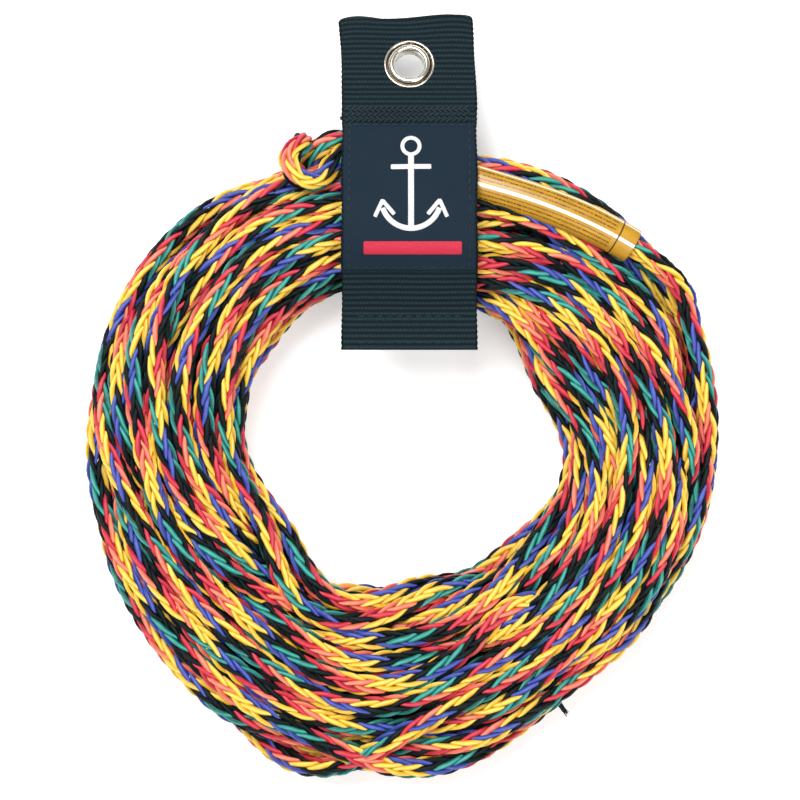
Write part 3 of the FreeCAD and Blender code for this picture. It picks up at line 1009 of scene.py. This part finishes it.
SLEEVE_FROM, SLEEVE_TO = (16.5, 83.6, 41.0), (85.6, 57.7, 43.4)
SLEEVE_HALF_WIDTH, SLEEVE_HALF_HEIGHT, SLEEVE_WALL = 0.0067, 0.0049, 0.00035


def nearest(line, spot):
    return int(np.argmin(np.linalg.norm(line - np.array(spot) * MM, axis=1)))


def sleeve_mesh(line):
    """A flattened tube with a thin wall round a stretch of the rope."""
    line, run = evened(line, 140)
    along = headings(line)
    side = np.cross(along, (0, 0, 1.0))
    side /= np.linalg.norm(side, axis=1, keepdims=True)
    up = np.cross(side, along)
    angle = np.arange(64) * 2 * math.pi / 64
    crease = 0.00012 * np.sin(run / MM / 6.5)[:, None] * np.sin(3 * angle)
    blunt_x = np.sign(np.cos(angle)) * np.abs(np.cos(angle)) ** 0.85
    blunt_y = np.sign(np.sin(angle)) * np.abs(np.sin(angle)) ** 0.85
    rows = []
    for wall in (0.0, SLEEVE_WALL):
        wide, tall = SLEEVE_HALF_WIDTH - wall + crease, SLEEVE_HALF_HEIGHT - wall + crease
        rows.append(
            line[:, None]
            + (wide * blunt_x)[..., None] * side[:, None]
            + (tall * blunt_y)[..., None] * up[:, None]
        )
    points = np.concatenate([rows[0], rows[1][::-1], rows[0][:1]])
    across = np.where(np.sin(angle) > -0.15, np.cos(angle) * 6.2, 9.0 + np.cos(angle))
    marks = np.zeros_like(points)
    marks[..., 0] = across
    marks[..., 1] = np.concatenate([run, run[::-1], run[:1]])[:, None] / MM
    return grid_mesh("sleeve", points[None], closed_across=True, marks=marks[None]), run[-1] / MM


def sleeve_paint(length):
    """Amber film with rows of small plain dashes each side of a white stripe."""
    paint = Paint("sleeve_film", 0.34, specular=0.5)
    across, along, _ = paint.grain_parts()
    amber = paint.ramp(
        paint.noise(paint.grain(0.3, 0.1, 0.0), 1.0, 3.0),
        ((0.2, linear(160, 114, 18)), (0.8, linear(196, 148, 36))),
    )
    rows = paint.math("PINGPONG", paint.math("ADD", across, 20.0), 0.72)
    breaks = paint.noise(paint.grain(0.6, 2.2, 0.0), 1.1, 1.0)
    from_stripe = paint.math("ABSOLUTE", paint.math("SUBTRACT", across, 0.2))
    dashes = paint.math("LESS_THAN", rows, 0.26)
    for gate in (
        paint.math("GREATER_THAN", breaks, 0.46),
        paint.math("GREATER_THAN", from_stripe, 1.3),
        paint.math("LESS_THAN", paint.math("ABSOLUTE", across), 4.9),
        paint.math("LESS_THAN", along, length - 9.0),
    ):
        dashes = paint.math("MULTIPLY", dashes, gate)
    color = paint.mix(dashes, amber, linear(92, 58, 22))
    color = paint.mix(paint.near(across, 0.2, 0.42), color, linear(250, 246, 232))
    # A pale line near one folded side of the film is a painted highlight along the fold.
    color = paint.mix(paint.near(across, -5.3, 0.22), color, linear(240, 226, 190))
    color = paint.mix(paint.near(along, length - 7.0, 0.3), color, linear(70, 46, 20))
    paint.color(color)
    return paint


pass_line = rope_line[nearest(rope_line, SLEEVE_TO): nearest(rope_line, SLEEVE_FROM) + 1][::-1]
sleeve, sleeve_length = sleeve_mesh(pass_line)
paint_on(sleeve, sleeve_paint(sleeve_length))
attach(sleeve, "coil")
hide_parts("caution_sleeve")
rope_pieces.append(sleeve)

# ---------------------------------------------------------------- floor and light

floor_corners = np.array([[[-3, -3, 0], [3, -3, 0]], [[-3, 3, 0], [3, 3, 0]]], float)
floor = grid_mesh("floor", floor_corners[None])
floor_paint = Paint("floor", 0.9, specular=0.1)
clouds = floor_paint.noise(floor_paint.object_place(), 3.0)
floor_paint.color(
    floor_paint.ramp(clouds, ((0.0, linear(250, 250, 250)), (1.0, linear(254, 254, 254))))
)
# The floor also glows a little, a painted glow that lightens the shadows cast on it.
floor_paint.shader.inputs["Emission Color"].default_value = (1, 1, 1, 1)
floor_paint.shader.inputs["Emission Strength"].default_value = 0.28
paint_on(floor, floor_paint)


def soft_light(name, place, size, power):
    """A round lamp aimed at the ring."""
    lamp = bpy.data.objects.new(name, bpy.data.lights.new(name, "AREA"))
    bpy.context.collection.objects.link(lamp)
    lamp.data.shape, lamp.data.size, lamp.data.energy = "DISK", size, power
    lamp.location = place
    heading = Vector((0, RING_Y * MM, 0)) - Vector(place)
    lamp.rotation_euler = heading.to_track_quat("-Z", "Y").to_euler()


soft_light("key", (-0.4, 0.6, 1.5), 1.0, 30)
soft_light("fill", (0.8, -0.6, 1.4), 1.2, 14)
world = bpy.data.worlds.new("world")
world.use_nodes = True
background = world.node_tree.nodes["Background"]
background.inputs["Color"].default_value = (1, 1, 1, 1)
background.inputs["Strength"].default_value = 0.4
bpy.context.scene.world = world
bpy.context.scene.view_settings.view_transform = "Standard"
